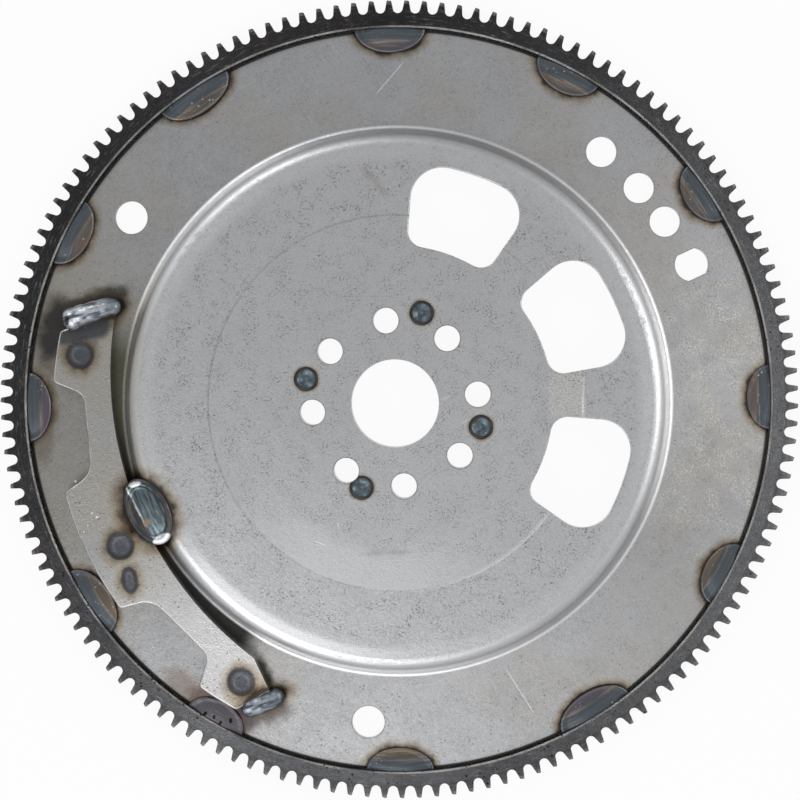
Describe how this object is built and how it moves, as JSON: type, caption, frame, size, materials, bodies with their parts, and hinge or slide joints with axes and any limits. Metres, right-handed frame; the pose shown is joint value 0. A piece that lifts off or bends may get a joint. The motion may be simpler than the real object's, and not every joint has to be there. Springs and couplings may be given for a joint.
{
  "type": "flexplate",
  "caption": "Dished steel drive disc with a welded starter ring gear, hub plate and lobed balance weight, which carries an engine's torque to the torque converter.",
  "frame": {"origin": "centre of the crank mounting face, on the axis of the pilot bore", "axes": "+Z along the axis out of the crank mounting face, towards the engine; +X lies between the two lower windows as seen from the engine side, 25.1 degrees short of the slotted converter hole"},
  "size_m": [0.36, 0.36, 0.0173],
  "materials": {
    "ring_steel": "heat treated and oiled, dark oxide with bright worn edges",
    "pressed_steel": "satin cold rolled sheet with fine specks and scratches",
    "weight_steel": "satin pressed plate with heat tint round its welds",
    "weld_metal": "glassy dark weld bead with straw and brown heat tint"
  },
  "bodies": {
    "root": {"ring_gear": "ring_steel", "drive_disc": "pressed_steel", "hub_reinforcement_plate": "pressed_steel", "balance_weight": "weight_steel", "ring_weld_01": "weld_metal", "ring_weld_02": "weld_metal", "ring_weld_03": "weld_metal", "ring_weld_04": "weld_metal", "ring_weld_05": "weld_metal", "ring_weld_06": "weld_metal", "ring_weld_07": "weld_metal", "ring_weld_08": "weld_metal", "ring_weld_09": "weld_metal", "ring_weld_10": "weld_metal", "ring_weld_11": "weld_metal", "ring_weld_12": "weld_metal", "hub_plug_weld_1": "weld_metal", "hub_plug_weld_2": "weld_metal", "hub_plug_weld_3": "weld_metal", "hub_plug_weld_4": "weld_metal", "weight_weld_top": "weld_metal", "weight_weld_middle": "weld_metal", "weight_weld_bottom": "weld_metal"}
  },
  "joints": []
}
